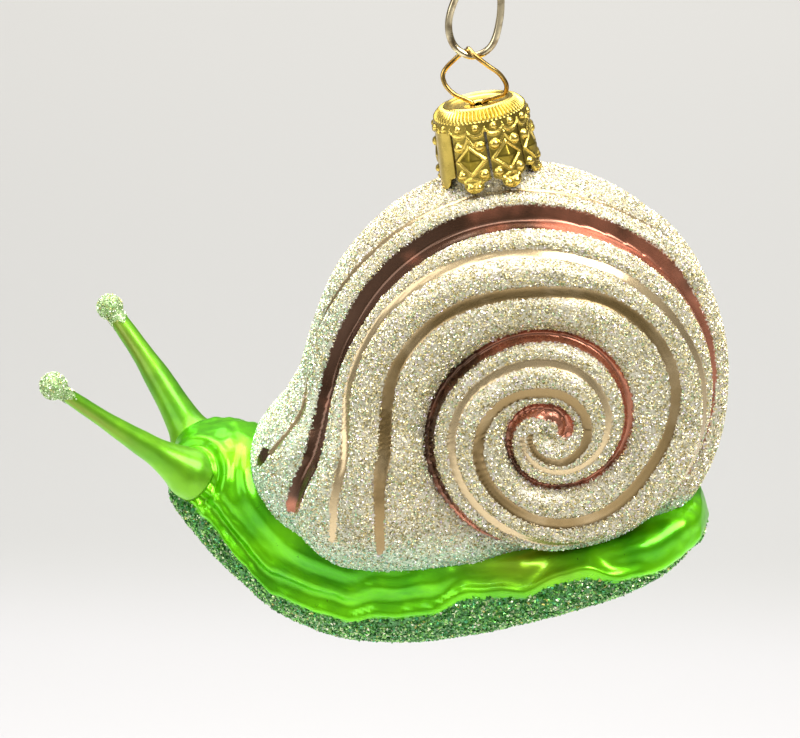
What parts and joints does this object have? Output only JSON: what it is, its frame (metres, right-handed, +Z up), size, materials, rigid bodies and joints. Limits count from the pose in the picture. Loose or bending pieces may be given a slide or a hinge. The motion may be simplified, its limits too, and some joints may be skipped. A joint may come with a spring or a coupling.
{
  "type": "glass snail tree ornament",
  "caption": "Mouth-blown glass snail ornament with a glittered spiral shell and green body, hung by a stamped crown cap, a wire loop and a wire hook.",
  "frame": {"origin": "inside top of the hook's upper bend, on its middle line, where a branch or rod carries it", "axes": "+Z straight up as it hangs, +X towards the tail, +Y towards the snail's far side; the snail hangs a little nose down"},
  "size_m": [0.1075, 0.04, 0.1314],
  "materials": {
    "shell_glitter": "champagne lacquer under clear and silver glitter, satin grooves",
    "shell_groove": "satin copper-brown lacquer",
    "green_lacquer": "translucent lime lacquer over silvering, glossy",
    "green_glitter": "dark green glitter on lacquer",
    "tip_glitter": "pale glitter on green lacquer",
    "gold_cap": "stamped sheet, gold lacquer",
    "loop_wire": "drawn wire, bronze gold",
    "hook_wire": "drawn wire, pale champagne wash"
  },
  "bodies": {
    "root": {"glass_body": "shell_glitter", "tentacle_left": "green_lacquer", "tentacle_right": "green_lacquer", "crown_cap": "gold_cap", "wire_loop": "loop_wire", "hanger_hook": "hook_wire"}
  },
  "joints": []
}
